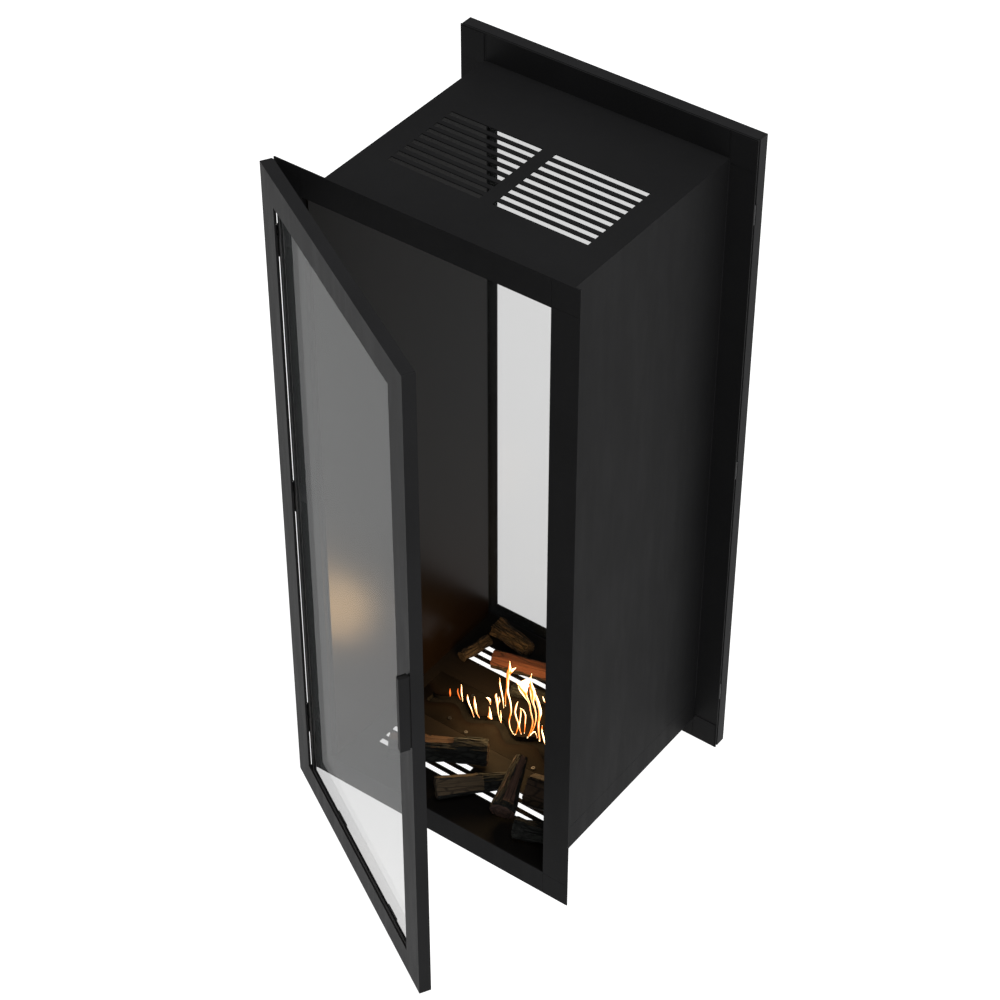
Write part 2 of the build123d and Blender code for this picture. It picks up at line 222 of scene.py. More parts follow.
def sooted_floor(name, colour):
    """Floor coat streaked with soot, drawn lighter and browner along the burner as painted
    firelight and darker away from it as painted shade.
    """
    paint = Finish(name)
    where = paint.place()
    _, across, _ = paint.parts(where)
    streaks = paint.noise(paint.stretched(where, (9.0, 60.0, 9.0)), 1.0, 5.0, 0.65)
    fine = paint.noise(where, 800.0, 3.0)
    # painted firelight along the burner line, painted shade (down to a third of the colour)
    # further out
    painted_firelight = 1.0 - (across.size() + streaks * 0.05).between(0.06, 0.2)
    base = paint.blend(painted_firelight, rgb(colour, 0.35), rgb(colour))
    base = paint.blend(streaks.between(0.5, 0.72) * 0.6, base, rgb(colour, 0.3))
    return paint.surface(
        Base_Color=base, Roughness=streaks * 0.2 + fine * 0.05 + 0.65,
        Specular_IOR_Level=0.08, Normal=paint.bump(fine, 0.0001, 0.5))


def heat_tinted_steel(name, colour, slot_wave, slot_length):
    """Rolled steel, straw and blue beside the flame slot, with fine rolling lines; near-black
    right at the slot rim, heat blackening together with painted shade of the slot.
    """
    steel = Finish(name)
    where = steel.place()
    x, y, _ = steel.parts(where)
    from_slot = (y + (x * (2 * math.pi / slot_length) + math.pi / 2).sine() * slot_wave).size()
    lines = steel.noise(steel.stretched(where, (14.0, 900.0, 30.0)), 1.0, 4.0, 0.6)
    blotch = steel.noise(where, 26.0, 5.0, 0.65)
    edge = (from_slot + blotch * 0.012 - 0.006)
    # near-black at the slot rim: heat blackening and painted shade of the slot; the plate darkens
    # again far from the slot
    tint = steel.ramp(edge.between(0.008, 0.05),
                      (0.0, (colour[0] * 0.25, colour[1] * 0.25, colour[2] * 0.35)),
                      (0.14, (colour[0] * 0.7, colour[1] * 0.55, colour[2] * 0.5)),
                      (0.35, tuple(colour[:3])),
                      (0.7, (colour[0] * 0.8, colour[1] * 0.85, colour[2] * 0.9)),
                      (1.0, (colour[0] * 0.55, colour[1] * 0.6, colour[2] * 0.65)))
    sooty = steel.blend(blotch.between(0.5, 0.75) * 0.5, tint, rgb((0.008, 0.007, 0.006)))
    return steel.surface(
        Base_Color=sooty,
        Metallic=(0.12 - blotch * 0.1).clamped(),
        Roughness=lines * 0.2 + blotch * 0.15 + 0.6,
        Specular_IOR_Level=0.04,
        Normal=steel.bump(lines, 0.0001, 0.5))


def dull_metal(name, colour, metallic, roughness, gloss=0.4):
    """Heat-dulled or blackened steel with a light scale on it."""
    steel = Finish(name)
    where = steel.place()
    scale = steel.noise(where, 160.0, 5.0, 0.65)
    fine = steel.noise(where, 1500.0, 2.0)
    base = steel.blend(scale.between(0.35, 0.7), rgb(colour, 0.7), rgb(colour, 1.25))
    return steel.surface(
        Base_Color=base,
        Metallic=(metallic + scale * 0.1).clamped(),
        Roughness=scale * 0.2 + roughness - 0.1,
        Specular_IOR_Level=gloss,
        Normal=steel.bump(scale * 0.6 + fine * 0.4, 0.0002, 0.6))


def ceramic_fibre(name, colour):
    """Pressed fibre, matted and darkened by soot; the near-black colour it is given is partly
    painted shade of the slot.
    """
    mat = Finish(name)
    where = mat.place()
    hairs = mat.noise(mat.stretched(where, (1.0, 0.3, 1.0)), 900.0, 4.0, 0.7, 1.5)
    soot = mat.noise(where, 40.0, 4.0)
    base = mat.blend(soot.between(0.35, 0.65), rgb(colour, 0.25), rgb(colour))
    base = mat.blend(hairs.between(0.5, 0.75), base, rgb(colour, 1.3))
    return mat.surface(Base_Color=base, Roughness=hairs * 0.1 + 0.88,
                       Specular_IOR_Level=0.1, Normal=mat.bump(hairs, 0.0006))


def pane_glass(name, colour):
    """Lightly smoked heat-resistant glass with a faint film on it."""
    glass = Finish(name)
    where = glass.place()
    smears = glass.noise(where, 3.0, 4.0, 0.6)
    film = glass.noise(glass.stretched(where, (1.0, 1.0, 0.25)), 30.0, 4.0)
    tint = glass.blend(smears, rgb(colour, 0.92), rgb(colour, 1.08))
    return glass.surface(
        Base_Color=tint,
        Roughness=film * 0.01 + 0.03,
        Specular_IOR_Level=0.5,
        Alpha=(smears * 0.01 + 0.28).clamped())


def woven_tape(name, colour):
    """Plain-woven glass-fibre tape."""
    tape = Finish(name)
    x, y, z = tape.parts(tape.place())
    pitch = 2 * math.pi / 0.0016
    warp = ((x + y) * pitch).sine() * 0.5 + 0.5
    weft = (z * pitch).sine() * 0.5 + 0.5
    cloth = warp * weft
    fuzz = tape.noise(tape.place(), 1800.0, 3.0)
    base = tape.blend(cloth * 0.7 + fuzz * 0.3, rgb(colour, 0.55), rgb(colour, 1.25))
    return tape.surface(Base_Color=base, Roughness=fuzz * 0.1 + 0.85,
                        Specular_IOR_Level=0.2, Normal=tape.bump(cloth, 0.0004))


def cast_bark(name, colour, pale):
    """Ceramic cast from bark: plates, furrows drawn darker as painted shade, and pale flecks on
    the ridges as painted highlights.
    """
    bark = Finish(name)
    where = bark.place("UV")
    long_where = bark.stretched(where, (1.0, 0.38, 1.0))
    plates = bark.cells(long_where, 120.0, "DISTANCE_TO_EDGE").between(0.0, 0.22)
    rough = bark.noise(long_where, 260.0, 6.0, 0.7, 0.6)
    moss = bark.noise(where, 38.0, 5.0, 0.6)
    relief = plates * 0.6 + rough * 0.4
    # painted shade in the furrows; the pale flecks on the ridges below are painted highlights
    base = bark.blend(relief.between(0.25, 0.8), rgb(colour, 0.28), rgb(colour, 1.1))
    base = bark.blend(rough.between(0.56, 0.78) * 0.8, base, rgb(pale))
    base = bark.blend(moss.between(0.5, 0.7) * 0.55, base,
                      rgb((colour[0] * 0.65, colour[1] * 0.85, colour[2] * 0.7)))
    return bark.surface(Base_Color=base, Roughness=0.95 - relief * 0.1,
                        Specular_IOR_Level=0.15, Normal=bark.bump(relief, 0.0016))


def cast_wood(name, colour, dark):
    """Ceramic cast from split wood: long grain, cracks darkened as painted shade, and scorched
    ends.
    """
    wood = Finish(name)
    where = wood.place("UV")
    grain = wood.noise(wood.stretched(where, (420.0, 16.0, 1.0)), 1.0, 6.0, 0.62, 0.8)
    bands = wood.noise(wood.stretched(where, (70.0, 7.0, 1.0)), 1.0, 3.0, 0.5, 1.2)
    cracks = wood.cells(wood.stretched(where, (1.0, 0.16, 1.0)), 75.0,
                        "DISTANCE_TO_EDGE").between(0.0, 0.05)
    burnt = wood.noise(where, 22.0, 5.0, 0.65)
    base = wood.blend(bands.between(0.35, 0.68), rgb(colour, 0.7), rgb(colour, 1.2))
    base = wood.blend(grain.between(0.45, 0.72) * 0.65, base, rgb(dark))
    # painted shade in the cracks
    base = wood.blend((1.0 - cracks) * 0.8, base, rgb(dark, 0.3))
    base = wood.blend(burnt.between(0.55, 0.75) * 0.75, base, rgb(dark, 0.5))
    return wood.surface(Base_Color=base, Roughness=grain * 0.12 + 0.8,
                        Specular_IOR_Level=0.2,
                        Normal=wood.bump(grain * 0.45 + cracks * 0.55, 0.0009))


def burning_gas(name, core, edge, strength):
    """Luminous flame: near-white core, orange skin, thin towards its outline."""
    fire = Finish(name)
    where = fire.place("UV")
    _, along, _ = fire.parts(where)
    licks = fire.noise(fire.stretched(where, (3.0, 6.0, 1.0)), 1.0, 3.0)
    outline = fire.facing()
    heart = ((1.0 - outline) * 1.35 + licks * 0.5 - 0.45
             - (along - 0.55).size() * 0.55).clamped()
    glow = fire.ramp(heart,
                     (0.0, rgb(edge, 0.3)[:3]), (0.26, rgb(edge)[:3]),
                     (0.46, tuple(edge[i] * 3 ** (1 - 0.2 * i) for i in range(3))),
                     (0.8, rgb(core, 0.6)[:3]))
    body = (heart * 2.6 + 0.12).clamped()
    return fire.surface(Base_Color=(0.0, 0.0, 0.0, 1.0), Roughness=1.0,
                        Specular_IOR_Level=0.0, Emission_Color=glow,
                        Emission_Strength=strength, Alpha=body)


def pale_floor(name, colour, glow):
    """Seamless pale studio floor with a faint mottle."""
    floor = Finish(name)
    mottle = floor.noise(floor.place(), 2.0, 3.0)
    base = floor.blend(mottle, rgb(colour, 0.97), rgb(colour, 1.0))
    return floor.surface(Base_Color=base, Roughness=mottle * 0.1 + 0.85,
                         Specular_IOR_Level=0.0, Emission_Color=rgb((1, 1, 1)),
                         Emission_Strength=glow)


# ---------------------------------------------------------------- mesh makers
def join_to_scene(name, bm, materials, smooth=True):
    mesh = bpy.data.meshes.new(name)
    bm.normal_update()
    bm.to_mesh(mesh)
    bm.free()
    for material in materials:
        mesh.materials.append(material)
    for face in mesh.polygons:
        face.use_smooth = smooth
    piece = bpy.data.objects.new(name, mesh)
    bpy.context.scene.collection.objects.link(piece)
    return piece


class Log:
    """A cast log: a bark cylinder with split faces cut into it."""

    def __init__(self, start, end, radius, taper=0.9, splits=(), seed=0.0, rough=0.1,
                 bow=0.0, fray=0.0):
        self.start = Vector(start) / 1000
        self.end = Vector(end) / 1000
        self.radius = radius / 1000
        self.taper = taper
        self.splits = splits
        self.seed = seed
        self.rough = rough
        self.bow = bow / 1000
        self.fray = fray / 1000

    def frame(self):
        axis = (self.end - self.start).normalized()
        across = UP.cross(axis).normalized()
        return axis, across, axis.cross(across)

    def section(self, share, angle):
        """Radius at one angle and whether that point lies on a split face."""
        length = (self.end - self.start).length
        base = self.radius * (1 + (self.taper - 1) * share)
        turn = Vector((math.cos(angle), math.sin(angle), 0))
        at = Vector((turn.x * 1.1, turn.y * 1.1, share * length / self.radius * 0.45))
        at.z += self.seed
        lumps = noise.noise(at)
        fine = Vector((turn.x * 4.5, turn.y * 4.5, at.z * 1.3))
        furrow = abs(noise.noise(fine)) * 2 - 0.6
        bark = base * (0.95 + self.rough * (0.6 * lumps + 0.5 * furrow) - 0.3 * self.rough)
        reach, split = bark, False
        for middle, depth, first, last in self.splits:
            if not first <= share <= last:
                continue
            fade = min(1.0, (share - first) / 0.08 if first > 0 else 1.0,
                       (last - share) / 0.08 if last < 1 else 1.0)
            lean = math.cos(angle - math.radians(middle))
            if lean <= 0.08:
                continue
            ripple = 0.035 * noise.noise(Vector((angle * 9 + self.seed, share * 5, 1.7)))
            cut = base * (depth + ripple) / lean
            cut = cut + (bark - cut) * (1 - fade) if cut < bark else cut
            if cut < reach:
                reach, split = cut, True
        return reach, split

    def build(self, name, bark, wood, rings=72, sides=72):
        axis, across, up = self.frame()
        length = (self.end - self.start).length
        bm = bmesh.new()
        layer = bm.loops.layers.uv.new("grain")
        loops, marks = [], []
        for i in range(rings + 1):
            share = i / rings
            sag = self.bow * math.sin(math.pi * share)
            row, mark = [], []
            for j in range(sides):
                angle = 2 * math.pi * j / sides
                reach, split = self.section(share, angle)
                edge = min(share, 1 - share) * length
                if edge < self.radius * 0.12:
                    reach *= 0.955 + 0.045 * (edge / (self.radius * 0.12))
                ragged = 0.0
                if i in (0, rings):
                    ragged = noise.noise(Vector((angle * 3, self.seed, i))) * self.radius * 0.05
                    ragged -= abs(noise.noise(Vector((angle * 5, i, self.seed)))) * self.fray
                sign = 1 if i else -1
                point = (self.start + axis * (share * length + sign * ragged) + up * sag
                         + (across * math.cos(angle) + up * math.sin(angle)) * reach)
                row.append(bm.verts.new(point))
                mark.append(split)
            loops.append(row)
            marks.append(mark)
        step = 2 * math.pi * self.radius / sides
        for i in range(rings):
            for j in range(sides):
                k = (j + 1) % sides
                face = bm.faces.new((loops[i][j], loops[i][k], loops[i + 1][k], loops[i + 1][j]))
                cut = sum((marks[i][j], marks[i][k], marks[i + 1][k], marks[i + 1][j]))
                face.material_index = 1 if cut >= 3 else 0
                corners = ((j, i), (j + 1, i), (j + 1, i + 1), (j, i + 1))
                for loop, (u, v) in zip(face.loops, corners):
                    loop[layer].uv = (u * step, v / rings * length)
        for row, centre, flip in ((loops[0], self.start, True), (loops[-1], self.end, False)):
            self.cap(bm, layer, row, centre, axis, flip)
        piece = join_to_scene(name, bm, (bark, wood))
        piece.data.set_sharp_from_angle(angle=math.radians(50))
        return piece

    def cap(self, bm, layer, row, centre, axis, flip):
        """Sawn or broken end, dished a little in rings."""
        previous = row
        out = -1 if flip else 1
        for scale in (0.8, 0.55, 0.3, 0.08):
            ring = []
            for vert in row:
                spot = centre + (vert.co - centre) * scale
                dish = noise.noise(spot * 260 + Vector((self.seed,) * 3)) * self.radius * 0.06
                ring.append(bm.verts.new(spot + axis * out * dish))
            self.stitch(bm, layer, previous, ring, centre, flip)
            previous = ring
        face = bm.faces.new(previous if not flip else list(reversed(previous)))
        face.material_index = 1
        for loop in face.loops:
            loop[layer].uv = (0.0, 0.0)

    def stitch(self, bm, layer, outer, inner, centre, flip):
        sides = len(outer)
        for j in range(sides):
            k = (j + 1) % sides
            quad = [outer[j], outer[k], inner[k], inner[j]]
            face = bm.faces.new(list(reversed(quad)) if flip else quad)
            face.material_index = 1
            for loop in face.loops:
                spread = (loop.vert.co - centre).length
                loop[layer].uv = (spread, 0.02 * math.sin(j * 0.2))


def slot_y(x):
    """Centre line of the flame slot, in millimetres."""
    return -SLOT_WAVE * math.cos(2 * math.pi * x / SLOT_WAVE_LENGTH)


class Flame:
    """A tongue of flame that follows points given as place along the slot, height and
    half width, all in millimetres."""

    def __init__(self, *points, drift=0.0, depth=0.45):
        self.points = points
        self.drift = drift
        self.depth = depth

    def spread(self, count=40):
        """Evenly spaced points on a smooth line through the given ones."""
        pts = [Vector(p) for p in self.points]
        if len(pts) < 3:
            return [pts[0].lerp(pts[-1], i / count) for i in range(count + 1)]
        pts = [pts[0] * 2 - pts[1], *pts, pts[-1] * 2 - pts[-2]]
        made = []
        spans = len(pts) - 3
        for i in range(count + 1):
            place = i / count * spans
            k = min(int(place), spans - 1)
            t = place - k
            a, b, c, d = pts[k:k + 4]
            made.append(0.5 * ((2 * b) + (c - a) * t + (2 * a - 5 * b + 4 * c - d) * t * t
                               + (3 * b - a - 3 * c + d) * t ** 3))
        return made

    def build(self, bm, layer, sides=14):
        rows = []
        made = self.spread()
        for i, point in enumerate(made):
            x, z, half = point
            half = max(half, 0.15)
            share = i / (len(made) - 1)
            y = slot_y(x) + self.drift * math.sin(share * 5)
            ahead = made[min(i + 1, len(made) - 1)] - made[max(i - 1, 0)]
            run = Vector((ahead.x, 0, ahead.y)).normalized()
            side = run.cross(Vector((0, 1, 0)))
            deep = Vector((0, 1, 0)) * self.depth
            row = []
            for j in range(sides):
                angle = 2 * math.pi * j / sides
                spot = (Vector((x, y, z)) + side * half * math.cos(angle)
                        + deep * half * math.sin(angle))
                row.append(bm.verts.new(spot / 1000))
            rows.append(row)
        last = len(rows) - 1
        for i in range(last):
            for j in range(sides):
                k = (j + 1) % sides
                face = bm.faces.new((rows[i][j], rows[i][k], rows[i + 1][k], rows[i + 1][j]))
                corners = ((j, i), (j + 1, i), (j + 1, i + 1), (j, i + 1))
                for loop, (u, v) in zip(face.loops, corners):
                    loop[layer].uv = (u / sides, v / last)
        for row, flip in ((rows[0], True), (rows[-1], False)):
            face = bm.faces.new(list(reversed(row)) if flip else row)
            for loop in face.loops:
                loop[layer].uv = (0.0, 0.0 if flip else 1.0)


FLAMES = (
    # tall double tongue with a forked crown
    Flame((-16, 108, 0.5), (-16, 131, 1.3), (-10, 158, 1.9), (-8, 180, 3.0), (-6, 192, 3.9),
          (-3, 206, 2.9), (-3, 216, 1.5), (-3, 223, 0.4)),
    Flame((7, 58, 0.4), (-1, 70, 0.9), (-4, 86, 1.1), (0, 110, 1.5), (-2, 133, 1.6),
          (-8, 150, 2.0), (-8, 169, 2.4), (-8, 184, 3.2), (-8, 192, 1.5)),
    Flame((-6, 190, 2.2), (-1, 200, 2.6), (3, 207, 2.2), (8, 213, 0.4)),
    Flame((-8, 190, 2.0), (-1, 186, 1.6), (3, 184, 0.4)),
    # slim tongues left of it
    Flame((-24, 94, 0.4), (-28, 110, 1.0), (-34, 126, 1.5), (-37, 138, 1.2), (-37, 150, 0.4)),
    Flame((-35, 49, 0.5), (-40, 63, 0.9), (-42, 79, 1.5), (-43, 92, 2.5), (-45, 103, 2.3),
          (-44, 109, 0.8)),
    Flame((-33, 49, 0.4), (-34, 62, 1.0), (-35, 76, 0.5)),
    Flame((-43, 78, 0.5), (-38, 95, 1.1), (-39, 105, 0.5)),
    Flame((-53, 82, 0.4), (-54, 90, 2.3), (-56, 96, 3.0), (-59, 98, 0.6)),
    Flame((-54, 51, 5.0), (-54, 57, 3.6), (-54, 66, 2.0), (-55, 77, 0.4)),
    Flame((-68, 51, 0.5), (-72, 63, 1.5), (-74, 78, 2.8), (-75, 90, 1.7), (-75, 99, 0.4)),
    Flame((-76, 51, 0.5), (-81, 68, 1.1), (-87, 79, 1.8), (-90, 87, 1.6), (-90, 94, 0.4)),
    Flame((-111, 54, 0.4), (-115, 71, 1.3), (-115, 83, 1.1), (-115, 90, 0.3)),
    # forked loop in the middle
    Flame((8, 60, 0.4), (12, 83, 1.4), (9, 100, 1.5), (7, 113, 1.6), (9, 128, 1.6),
          (11, 137, 0.4)),
    Flame((16, 62, 0.6), (13, 80, 1.5), (14, 92, 0.9), (15, 110, 1.3), (15, 122, 0.6)),
    Flame((20, 64, 0.4), (21, 90, 1.1), (21, 107, 1.3), (18, 118, 1.2), (14, 123, 0.4)),
    # broad torn flame and the streams that feed it
    Flame((24, 53, 0.4), (29, 73, 1.0), (31, 93, 1.2), (28, 115, 1.3), (26, 134, 1.8),
          (21, 150, 4.6), (18, 162, 8.6), (18, 172, 9.4), (22, 181, 5.8), (27, 190, 1.5),
          (29, 201, 0.4), depth=0.3),
    Flame((28, 61, 0.4), (33, 81, 0.9), (35, 102, 1.1), (33, 121, 1.6), (30, 138, 2.7),
          (31, 156, 6.2), (30, 170, 5.2), (29, 182, 2.2), (30, 188, 0.4), drift=2.0, depth=0.35),
    Flame((44, 52, 1.2), (41, 75, 1.6), (41, 95, 1.8), (44, 119, 3.1), (40, 136, 3.2),
          (35, 151, 3.6), (31, 164, 1.5)),
    Flame((9, 180, 0.4), (12, 177, 2.4), (18, 179, 3.4), (24, 181, 2.0)),
    Flame((61, 62, 0.4), (54, 72, 1.7), (49, 81, 1.1), (50, 94, 0.4)),
    Flame((62, 158, 0.4), (55, 157, 1.6), (50, 161, 0.4)),
    Flame((39, 56, 0.3), (34, 69, 0.8), (27, 58, 0.4)),
    # the right part of the burner
    Flame((84, 51, 0.6), (80, 70, 1.6), (83, 95, 2.6), (79, 118, 2.0), (82, 140, 0.4)),
    Flame((92, 51, 0.5), (96, 72, 1.8), (93, 92, 1.4), (97, 108, 0.4)),
    Flame((118, 51, 0.5), (115, 66, 1.6), (117, 82, 1.2), (115, 95, 0.3)),
    Flame((141, 51, 0.4), (143, 61, 1.3), (141, 72, 0.3)),
)

LOW_FLAMES = (
    Flame((-118, 51, 0.4), (-122, 59, 1.2), (-124, 67, 1.0), (-123, 75, 0.3)),
    Flame((-136, 52, 0.5), (-136, 61, 1.8), (-136, 71, 0.3)),
    Flame((155, 51, 0.4), (156, 59, 1.5), (155, 67, 0.3)),
)

LOGS = {
    "log_rear_bark": Log((-173, 86, 59), (-160.5, 147, 59), 11.0, 0.95, seed=1.3, rough=0.26),
    "log_rear_dark": Log((-163, 172, 68.5), (-86, 160, 66), 19.5, 0.85, seed=4.1, rough=0.3,
                         bow=1.0, fray=8.0),
    "log_rear_split": Log((-124, 109, 66.5), (60, 160, 66.5), 18.0, 0.92, seed=7.7, rough=0.1,
                          splits=((96, 0.8, 0, 1), (150, 0.78, 0, 1), (40, 0.84, 0, 1))),
    "log_rear_low": Log((-58, 72, 60.5), (70, 112, 60.5), 12.0, 0.92, seed=6.2, rough=0.24),
    "log_front_left": Log((-134, -161, 75), (4, -78, 75), 26.0, 0.94, seed=2.9, rough=0.26,
                          splits=((74, 0.68, 0, 0.66), (118, 0.86, 0, 0.5))),
    "log_front_split": Log((-20, -186, 70), (67, -93, 64), 21.5, 0.72, seed=9.4, rough=0.2,
                           splits=((136, 0.54, 0, 0.6), (60, 0.8, 0, 0.55))),
    "log_leaning": Log((97, -168, 73), (69, -75, 101), 24.5, 0.47, seed=5.6, rough=0.16,
                       splits=((116, 0.78, 0.1, 1), (56, 0.86, 0.15, 1))),
    "log_right_split": Log((106, -107, 80), (172, -93, 80), 31.0, 0.95, seed=3.8, rough=0.12,
                           splits=((132, 0.72, 0, 1), (56, 0.78, 0, 1))),
    "log_right_bark": Log((130, -178, 68.5), (186, -160, 68.5), 20.0, 0.92, seed=8.2, rough=0.28),
}


# ---------------------------------------------------------------- settings
class FireplaceFinishes(bpy.types.PropertyGroup):
    """Colours and gloss of the painted steel, the glass and the logs."""

    carcass: bpy.props.FloatVectorProperty(
        name="Carcass coat", description="Powder coat of the tube and its flanges",
        subtype="COLOR", size=3, min=0, max=1, default=(0.0078, 0.0078, 0.0081))
    # The door coat is set a little lighter than the carcass coat, partly as painted light: the
    # door faces turn towards the light.
    doors: bpy.props.FloatVectorProperty(
        name="Door coat", description="Powder coat of the door pans and pulls",
        subtype="COLOR", size=3, min=0, max=1, default=(0.0105, 0.0105, 0.011))
    coat_roughness: bpy.props.FloatProperty(
        name="Coat roughness", description="Roughness of the powder coat",
        subtype="FACTOR", min=0, max=1, default=0.5)
    coat_gloss: bpy.props.FloatProperty(
        name="Coat gloss", description="Specular level of the powder coat",
        subtype="FACTOR", min=0, max=1, default=0.03)
    # The warm brown of this liner colour is painted firelight.
    liner: bpy.props.FloatVectorProperty(
        name="Liner", description="Heat-resistant paint of the side liners",
        subtype="COLOR", size=3, min=0, max=1, default=(0.003, 0.0022, 0.0015))
    burner: bpy.props.FloatVectorProperty(
        name="Burner cover", description="Heat-tinted steel around the flame slot",
        subtype="COLOR", size=3, min=0, max=1, default=(0.0042, 0.0029, 0.0019))
    # The chamber floor is drawn lighter and browner along the burner as painted firelight and
    # darker further out as painted shade.
    hearth: bpy.props.FloatVectorProperty(
        name="Chamber floor", description="Browned coat of the floor around the burner",
        subtype="COLOR", size=3, min=0, max=1, default=(0.0042, 0.0029, 0.0019))
    glass: bpy.props.FloatVectorProperty(
        name="Glass", description="Smoke of the panes",
        subtype="COLOR", size=3, min=0, max=1, default=(0.085, 0.09, 0.09))
    bark: bpy.props.FloatVectorProperty(
        name="Bark", description="Ceramic bark",
        subtype="COLOR", size=3, min=0, max=1, default=(0.022, 0.0145, 0.008))
    char: bpy.props.FloatVectorProperty(
        name="Charred bark", description="Ceramic bark of the charred logs",
        subtype="COLOR", size=3, min=0, max=1, default=(0.008, 0.0085, 0.0075))
    flame_strength: bpy.props.FloatProperty(
        name="Flame strength", description="Brightness of the flames",
        min=0, soft_max=40, default=12.0)
    fire_light: bpy.props.FloatProperty(
        name="Fire light", description="Light that the burning gas throws on the chamber",
        subtype="POWER", unit="POWER", min=0, soft_max=50, default=3.4)


class FireplaceStudio(bpy.types.PropertyGroup):
    """Camera, floor and light of the studio."""

    lens: bpy.props.FloatProperty(
        name="Lens", description="Focal length of the camera, in millimetres",
        subtype="NONE", min=20, max=300, default=101.8)
    camera_place: bpy.props.FloatVectorProperty(
        name="Camera place", description="Where the camera stands",
        subtype="TRANSLATION", unit="LENGTH", size=3, default=(1.9023, -2.6214, 3.3882))
    camera_aim: bpy.props.FloatVectorProperty(
        name="Camera direction", description="Direction the camera looks in",
        subtype="DIRECTION", size=3, default=(-0.44684, 0.60631, -0.65782))
    floor_size: bpy.props.FloatProperty(
        name="Floor size", description="Side of the square studio floor",
        subtype="DISTANCE", unit="LENGTH", min=2, max=60, default=30.0)
    floor_glow: bpy.props.FloatProperty(
        name="Floor glow", description="Light that the lit floor gives back",
        min=0, max=2, default=1.0)
    sky: bpy.props.FloatProperty(
        name="Ambient light", description="Strength of the even light from all round",
        min=0, max=5, default=0.5)
    key: bpy.props.FloatProperty(
        name="Key light", description="Power of the large soft light",
        subtype="POWER", unit="POWER", min=0, max=5000, default=150.0)


# ---------------------------------------------------------------- operators
def coat(material, *names):
    """Give CAD nodes a finish in place of the one they were packed with."""
    for name in names:
        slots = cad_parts[name].material_slots
        if not slots:
            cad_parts[name].data.materials.append(material)
            continue
        for slot in slots:
            slot.material = material


def both(*names):
    return [f"{side}_{name}" for side in ("front", "rear") for name in names]


class FIREPLACE_OT_set_camera(bpy.types.Operator):
    """Place the camera"""

    bl_idname = "fireplace.set_camera"
    bl_label = "Place Camera"

    def execute(self, context):
        studio = context.scene.fireplace_studio
        camera = bpy.data.cameras.new("camera")
        camera.sensor_width = 36.0
        camera.lens = studio.lens
        camera.clip_end = 100.0
        holder = bpy.data.objects.new("camera", camera)
        aim = Vector(studio.camera_aim).to_track_quat("-Z", "Y").to_matrix().to_4x4()
        holder.matrix_world = Matrix.Translation(Vector(studio.camera_place)) @ aim
        context.scene.collection.objects.link(holder)
        context.scene.camera = holder
        return {"FINISHED"}


class FIREPLACE_OT_finish_carcass(bpy.types.Operator):
    """Coat the tube, its flanges and its liners"""

    bl_idname = "fireplace.finish_carcass"
    bl_label = "Finish Carcass"

    def execute(self, context):
        look = context.scene.fireplace_finishes
        coat(powder_coat("carcass_coat", look.carcass, look.coat_roughness, look.coat_gloss),
             "left_side_panel", "right_side_panel", "top_panel", "front_base_flange",
             "rear_base_flange", "left_base_angle", "right_base_angle",
             "front_flange_corners", "rear_flange_corners")
        coat(liner_paint("liner_paint", look.liner), "left_liner", "right_liner")
        return {"FINISHED"}


class FIREPLACE_OT_finish_doors(bpy.types.Operator):
    """Coat the doors and give them glass, tape, clips, hinges and pulls"""

    bl_idname = "fireplace.finish_doors"
    bl_label = "Finish Doors"

    def execute(self, context):
        look = context.scene.fireplace_finishes
        # painted light: the door coat is a lighter copy of the carcass coat
        coat(powder_coat("door_coat_painted_lighter", look.doors, look.coat_roughness * 0.92,
                         look.coat_gloss * 1.1),
             *both("door_frame", "door_pull"))
        coat(pane_glass("pane", look.glass), *both("door_glass"))
        coat(woven_tape("edge_tape", (0.12, 0.12, 0.122)), *both("door_glass_tape"))
        coat(dull_metal("bracket_black", (0.02, 0.02, 0.021), 0.2, 0.5),
             *both("door_glass_clips", "door_hinge_leaves", "flange_hinge_leaves"))
        coat(dull_metal("dark_screw", (0.05, 0.05, 0.052), 0.8, 0.4),
             *both("door_clip_screws", "hinge_pins"), "burner_screws")
        # The pull core's near-black also stands in, as painted shade, for the shade inside the
        # pull's channel and in the gap behind the pull.
        coat(dull_metal("pull_core", (0.006, 0.006, 0.006), 0.0, 0.75, 0.2),
             *both("door_pull_core"))
        coat(dull_metal("ferrite", (0.03, 0.03, 0.032), 0.1, 0.6), *both("door_magnets"))
        return {"FINISHED"}


class FIREPLACE_OT_finish_burner(bpy.types.Operator):
    """Give the burner heat-tinted covers, a dull tray and a fibre bed"""

    bl_idname = "fireplace.finish_burner"
    bl_label = "Finish Burner"

    def execute(self, context):
        look = context.scene.fireplace_finishes
        coat(heat_tinted_steel("burner_plate", look.burner, SLOT_WAVE / 1000,
                               SLOT_WAVE_LENGTH / 1000),
             "front_burner_cover", "rear_burner_cover")
        coat(sooted_floor("floor_coat", look.hearth), "base_panel")
        # The trough and the fibre bed are kept near-black partly as painted shade of the deep
        # slot.
        coat(dull_metal("burner_steel", (0.006, 0.0055, 0.005), 0.1, 0.65, 0.1),
             "burner_tray", "burner_trough", "burner_stand")
        coat(ceramic_fibre("burner_fibre", (0.004, 0.0035, 0.003)), "burner_fibre")
        return {"FINISHED"}


